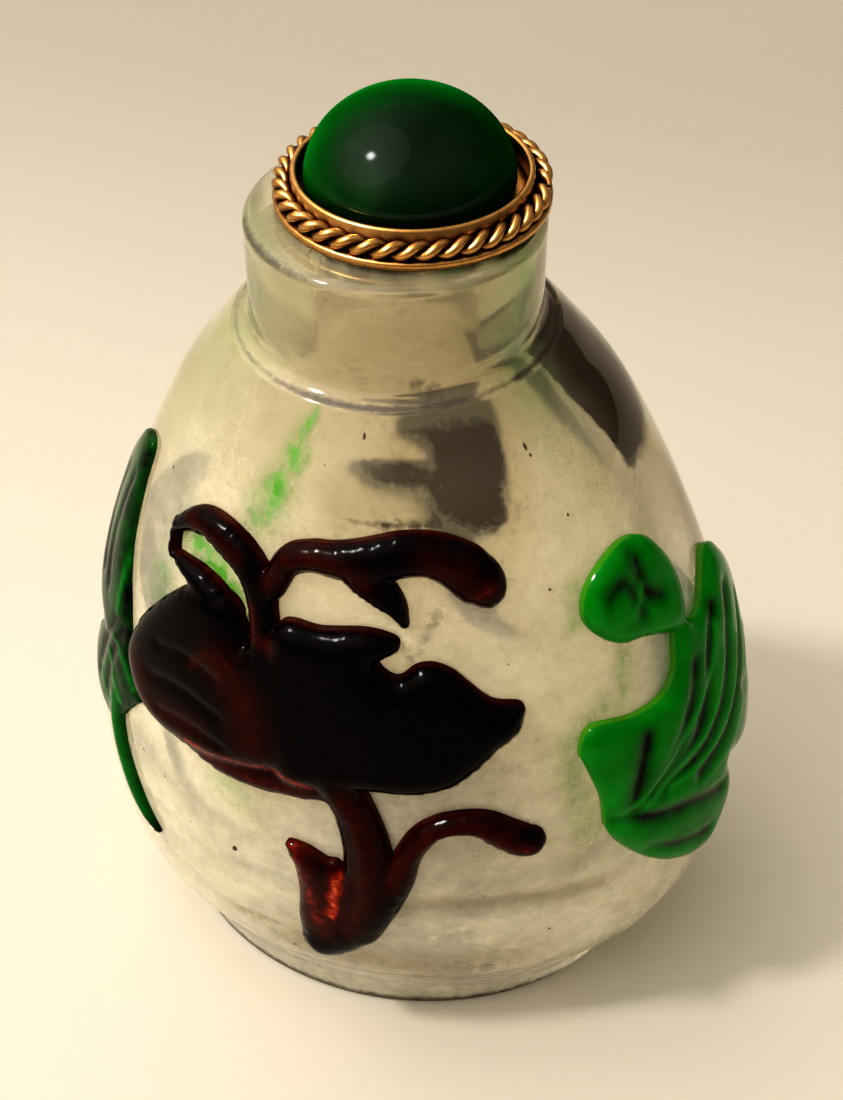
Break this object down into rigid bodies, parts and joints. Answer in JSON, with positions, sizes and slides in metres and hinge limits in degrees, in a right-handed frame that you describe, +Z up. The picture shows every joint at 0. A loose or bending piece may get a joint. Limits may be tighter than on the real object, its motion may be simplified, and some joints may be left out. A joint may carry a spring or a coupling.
{
  "type": "snuff bottle",
  "caption": "Hollow oval snuff bottle of clear glass with carved red and green overlay reliefs, a round neck, a low foot and a loose gilt stopper with a green cabochon.",
  "frame": {"origin": "middle of the foot's underside", "axes": "+Z up through the neck; -Y is the front, with the red figure; +X is the side of the two bright green leaves"},
  "size_m": [0.054, 0.0444, 0.074],
  "materials": {
    "clear_glass": "polished outside, dull inside",
    "red_glass": "polished",
    "green_glass": "polished",
    "gilt_brass": "worn gilding",
    "cabochon_glass": "polished"
  },
  "bodies": {
    "root": {"glass_bottle": "clear_glass", "front_figure": "red_glass", "back_figure": "red_glass", "right_leaves": "green_glass", "left_leaf": "green_glass", "gilt_collar": "gilt_brass", "green_cabochon": "cabochon_glass"}
  },
  "joints": []
}
